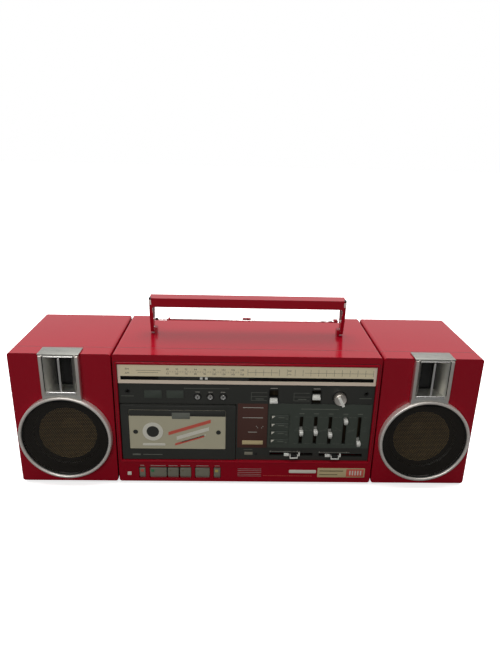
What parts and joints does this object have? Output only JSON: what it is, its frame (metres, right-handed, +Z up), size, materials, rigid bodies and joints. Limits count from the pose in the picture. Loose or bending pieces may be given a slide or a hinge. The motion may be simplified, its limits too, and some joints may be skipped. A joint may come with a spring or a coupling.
{
  "type": "portable radio cassette player",
  "caption": "Portable stereo radio cassette recorder with two detachable box speakers, graphic equalizer, folding handle and telescopic antenna.",
  "frame": {"origin": "bottom centre of the bounding box, on the surface that the feet stand on", "axes": "+X to the right of someone facing the front, along the longest side; +Y from the front to the back; +Z up"},
  "size_m": [0.56, 0.151, 0.2245],
  "materials": {
    "red_cabinet": "glossy red paint over moulded cabinet plastic",
    "black_fascia": "satin black plastic",
    "dark_plate": "dark green-grey printed plate",
    "cream_dial": "cream dial with a scale",
    "silver_trim": "satin silver plating",
    "antenna_cap": "black tip on a plated rod",
    "pale_knob": "pale moulded knob",
    "grey_key": "metallic grey key cap",
    "steel": "plain steel pressing",
    "brass_parts": "turned brass",
    "smoked_window": "smoked clear window",
    "mesh_black": "black painted steel mesh",
    "cone_paper": "brown paper cone",
    "board": "green circuit board"
  },
  "bodies": {
    "cabinet": {"main_front_frame": "red_cabinet", "main_rear_shell": "red_cabinet", "dial_panel": "cream_dial", "control_panel": "black_fascia", "equalizer_plate": "dark_plate", "deck_chassis": "steel", "deck_motor": "steel", "circuit_board": "board", "power_transformer": "steel"},
    "door": {"cassette_door": "black_fascia", "door_window": "smoked_window"},
    "left_speaker": {"left_speaker_front": "red_cabinet", "left_speaker_shell": "red_cabinet", "left_woofer_ring": "silver_trim", "left_woofer_grille": "mesh_black", "left_woofer_frame": "steel", "left_horn_bezel": "silver_trim"},
    "right_speaker": {"right_speaker_front": "red_cabinet", "right_speaker_shell": "red_cabinet", "right_woofer_ring": "silver_trim", "right_woofer_grille": "mesh_black", "right_woofer_frame": "steel", "right_horn_bezel": "silver_trim"},
    "battery_cover": {"battery_cover": "red_cabinet"},
    "handle": {"handle": "red_cabinet"},
    "dial_pointer": {"dial_pointer": "pale_knob"},
    "tuning_knob": {"tuning_knob": "silver_trim"},
    "mode_button_1": {"mode_button_1": "silver_trim"},
    "mode_button_2": {"mode_button_2": "silver_trim"},
    "mode_button_3": {"mode_button_3": "silver_trim"},
    "band_button_1": {"band_button_1": "black_fascia"},
    "band_button_2": {"band_button_2": "black_fascia"},
    "band_button_3": {"band_button_3": "black_fascia"},
    "band_button_4": {"band_button_4": "black_fascia"},
    "function_switch": {"function_switch": "pale_knob"},
    "mode_switch": {"mode_switch": "pale_knob"},
    "volume_slider": {"volume_slider": "grey_key"},
    "balance_slider": {"balance_slider": "grey_key"},
    "equalizer_slider_1": {"equalizer_slider_1": "pale_knob"},
    "equalizer_slider_2": {"equalizer_slider_2": "pale_knob"},
    "equalizer_slider_3": {"equalizer_slider_3": "pale_knob"},
    "equalizer_slider_4": {"equalizer_slider_4": "pale_knob"},
    "equalizer_slider_5": {"equalizer_slider_5": "pale_knob"},
    "record_key": {"record_key": "grey_key"},
    "play_key": {"play_key": "grey_key"},
    "rewind_key": {"rewind_key": "grey_key"},
    "forward_key": {"forward_key": "grey_key"},
    "stop_key": {"stop_key": "grey_key"},
    "pause_key": {"pause_key": "grey_key"},
    "supply_spindle": {"supply_spindle": "black_fascia"},
    "takeup_spindle": {"takeup_spindle": "black_fascia"},
    "flywheel": {"flywheel": "brass_parts"},
    "motor_pulley": {"motor_pulley": "brass_parts"},
    "head_plate": {"head_plate": "steel"},
    "antenna_pivot": {"antenna_pivot": "black_fascia"},
    "antenna_mast": {"antenna_mast": "silver_trim"},
    "antenna_middle": {"antenna_middle": "silver_trim"},
    "antenna_tip": {"antenna_tip": "antenna_cap"},
    "left_woofer_cone": {"left_woofer_cone": "cone_paper"},
    "right_woofer_cone": {"right_woofer_cone": "cone_paper"}
  },
  "joints": [
    {"name": "handle_fold", "type": "hinge", "parent": "cabinet", "child": "handle", "pos_m": [0, 0.0093, 0.181], "axis": [-1, 0, 0], "range_deg": [0, 76]},
    {"name": "antenna_swivel", "type": "hinge", "parent": "cabinet", "child": "antenna_pivot", "pos_m": [0.1253, 0.0705, 0.169], "axis": [0, 0, -1], "range_deg": [0, 90]},
    {"name": "antenna_lift", "type": "hinge", "parent": "antenna_pivot", "child": "antenna_mast", "pos_m": [0.1253, 0.0705, 0.1729], "axis": [0, 1, 0], "range_deg": [0, 90]},
    {"name": "antenna_middle_pull", "type": "slide", "parent": "antenna_mast", "child": "antenna_middle", "axis": [-1, 0, 0], "range_m": [0, 0.19]},
    {"name": "antenna_tip_pull", "type": "slide", "parent": "antenna_middle", "child": "antenna_tip", "axis": [-1, 0, 0], "range_m": [0, 0.18]},
    {"name": "door_open", "type": "hinge", "parent": "cabinet", "child": "door", "pos_m": [-0.08325, -0.0656, 0.0366], "axis": [1, 0, 0], "range_deg": [0, 28]},
    {"name": "record_key_press", "type": "slide", "parent": "cabinet", "child": "record_key", "axis": [0, 1, 0], "range_m": [0, 0.003], "stiffness_N_per_m": 400},
    {"name": "play_key_press", "type": "slide", "parent": "cabinet", "child": "play_key", "axis": [0, 1, 0], "range_m": [0, 0.003], "stiffness_N_per_m": 400},
    {"name": "rewind_key_press", "type": "slide", "parent": "cabinet", "child": "rewind_key", "axis": [0, 1, 0], "range_m": [0, 0.003], "stiffness_N_per_m": 400},
    {"name": "forward_key_press", "type": "slide", "parent": "cabinet", "child": "forward_key", "axis": [0, 1, 0], "range_m": [0, 0.003], "stiffness_N_per_m": 400},
    {"name": "stop_key_press", "type": "slide", "parent": "cabinet", "child": "stop_key", "axis": [0, 1, 0], "range_m": [0, 0.003], "stiffness_N_per_m": 400},
    {"name": "pause_key_press", "type": "slide", "parent": "cabinet", "child": "pause_key", "axis": [0, 1, 0], "range_m": [0, 0.003], "stiffness_N_per_m": 400},
    {"name": "mode_button_1_press", "type": "slide", "parent": "cabinet", "child": "mode_button_1", "axis": [0, 1, 0], "range_m": [0, 0.0015], "stiffness_N_per_m": 400},
    {"name": "mode_button_2_press", "type": "slide", "parent": "cabinet", "child": "mode_button_2", "axis": [0, 1, 0], "range_m": [0, 0.0015], "stiffness_N_per_m": 400},
    {"name": "mode_button_3_press", "type": "slide", "parent": "cabinet", "child": "mode_button_3", "axis": [0, 1, 0], "range_m": [0, 0.0015], "stiffness_N_per_m": 400},
    {"name": "band_button_1_press", "type": "slide", "parent": "cabinet", "child": "band_button_1", "axis": [0, 1, 0], "range_m": [0, 0.0012], "stiffness_N_per_m": 400},
    {"name": "band_button_2_press", "type": "slide", "parent": "cabinet", "child": "band_button_2", "axis": [0, 1, 0], "range_m": [0, 0.0012], "stiffness_N_per_m": 400},
    {"name": "band_button_3_press", "type": "slide", "parent": "cabinet", "child": "band_button_3", "axis": [0, 1, 0], "range_m": [0, 0.0012], "stiffness_N_per_m": 400},
    {"name": "band_button_4_press", "type": "slide", "parent": "cabinet", "child": "band_button_4", "axis": [0, 1, 0], "range_m": [0, 0.0012], "stiffness_N_per_m": 400},
    {"name": "equalizer_slider_1_move", "type": "slide", "parent": "cabinet", "child": "equalizer_slider_1", "axis": [0, 0, 1], "range_m": [-0.0144, 0.0177]},
    {"name": "equalizer_slider_2_move", "type": "slide", "parent": "cabinet", "child": "equalizer_slider_2", "axis": [0, 0, 1], "range_m": [-0.0153, 0.0168]},
    {"name": "equalizer_slider_3_move", "type": "slide", "parent": "cabinet", "child": "equalizer_slider_3", "axis": [0, 0, 1], "range_m": [-0.0119, 0.0202]},
    {"name": "equalizer_slider_4_move", "type": "slide", "parent": "cabinet", "child": "equalizer_slider_4", "axis": [0, 0, 1], "range_m": [-0.0307, 0.0014]},
    {"name": "equalizer_slider_5_move", "type": "slide", "parent": "cabinet", "child": "equalizer_slider_5", "axis": [0, 0, 1], "range_m": [0, 0.0321]},
    {"name": "volume_move", "type": "slide", "parent": "cabinet", "child": "volume_slider", "axis": [1, 0, 0], "range_m": [-0.025, 0.0235]},
    {"name": "balance_move", "type": "slide", "parent": "cabinet", "child": "balance_slider", "axis": [1, 0, 0], "range_m": [-0.0145, 0.034]},
    {"name": "function_switch_move", "type": "slide", "parent": "cabinet", "child": "function_switch", "axis": [0, 0, 1], "range_m": [0, 0.0105]},
    {"name": "mode_switch_move", "type": "slide", "parent": "cabinet", "child": "mode_switch", "axis": [0, 0, 1], "range_m": [-0.005, 0.005]},
    {"name": "tuning_turn", "type": "hinge", "parent": "cabinet", "child": "tuning_knob", "pos_m": [0.1117, -0.0675, 0.1226], "axis": [0, 1, 0], "range_deg": [-290, 990]},
    {"name": "pointer_travel", "type": "slide", "parent": "cabinet", "child": "dial_pointer", "axis": [1, 0, 0], "range_m": [-0.0445, 0.148]},
    {"name": "flywheel_spin", "type": "hinge", "parent": "cabinet", "child": "flywheel", "pos_m": [-0.05675, -0.0375, 0.049], "axis": [0, 1, 0], "continuous": true},
    {"name": "pulley_spin", "type": "hinge", "parent": "cabinet", "child": "motor_pulley", "pos_m": [-0.12175, -0.0375, 0.06], "axis": [0, 1, 0], "continuous": true},
    {"name": "supply_spin", "type": "hinge", "parent": "cabinet", "child": "supply_spindle", "pos_m": [-0.106, -0.0475, 0.0741], "axis": [0, 1, 0], "continuous": true},
    {"name": "takeup_spin", "type": "hinge", "parent": "cabinet", "child": "takeup_spindle", "pos_m": [-0.0635, -0.0475, 0.0741], "axis": [0, 1, 0], "continuous": true},
    {"name": "head_lift", "type": "slide", "parent": "cabinet", "child": "head_plate", "axis": [0, 0, 1], "range_m": [0, 0.004]},
    {"name": "battery_cover_off", "type": "slide", "parent": "cabinet", "child": "battery_cover", "axis": [0, 1, 0], "range_m": [0, 0.04]},
    {"name": "left_speaker_off", "type": "slide", "parent": "cabinet", "child": "left_speaker", "axis": [-1, 0, 0], "range_m": [0, 0.12]},
    {"name": "right_speaker_off", "type": "slide", "parent": "cabinet", "child": "right_speaker", "axis": [1, 0, 0], "range_m": [0, 0.12]},
    {"name": "left_cone_move", "type": "slide", "parent": "left_speaker", "child": "left_woofer_cone", "axis": [0, 1, 0], "range_m": [-0.002, 0.002], "stiffness_N_per_m": 1500},
    {"name": "right_cone_move", "type": "slide", "parent": "right_speaker", "child": "right_woofer_cone", "axis": [0, 1, 0], "range_m": [-0.002, 0.002], "stiffness_N_per_m": 1500}
  ],
  "couplings": [
    {"joint": "antenna_middle_pull", "follows": "antenna_lift", "m_per_rad": 0.11777},
    {"joint": "antenna_tip_pull", "follows": "antenna_lift", "m_per_rad": 0.11141},
    {"joint": "pointer_travel", "follows": "tuning_turn", "m_per_rad": 0.0085},
    {"joint": "head_lift", "follows": "play_key_press", "ratio": 1.3},
    {"joint": "pulley_spin", "follows": "flywheel_spin", "ratio": 5.26},
    {"joint": "supply_spin", "follows": "flywheel_spin", "ratio": 0.4},
    {"joint": "takeup_spin", "follows": "flywheel_spin", "ratio": 0.4}
  ]
}
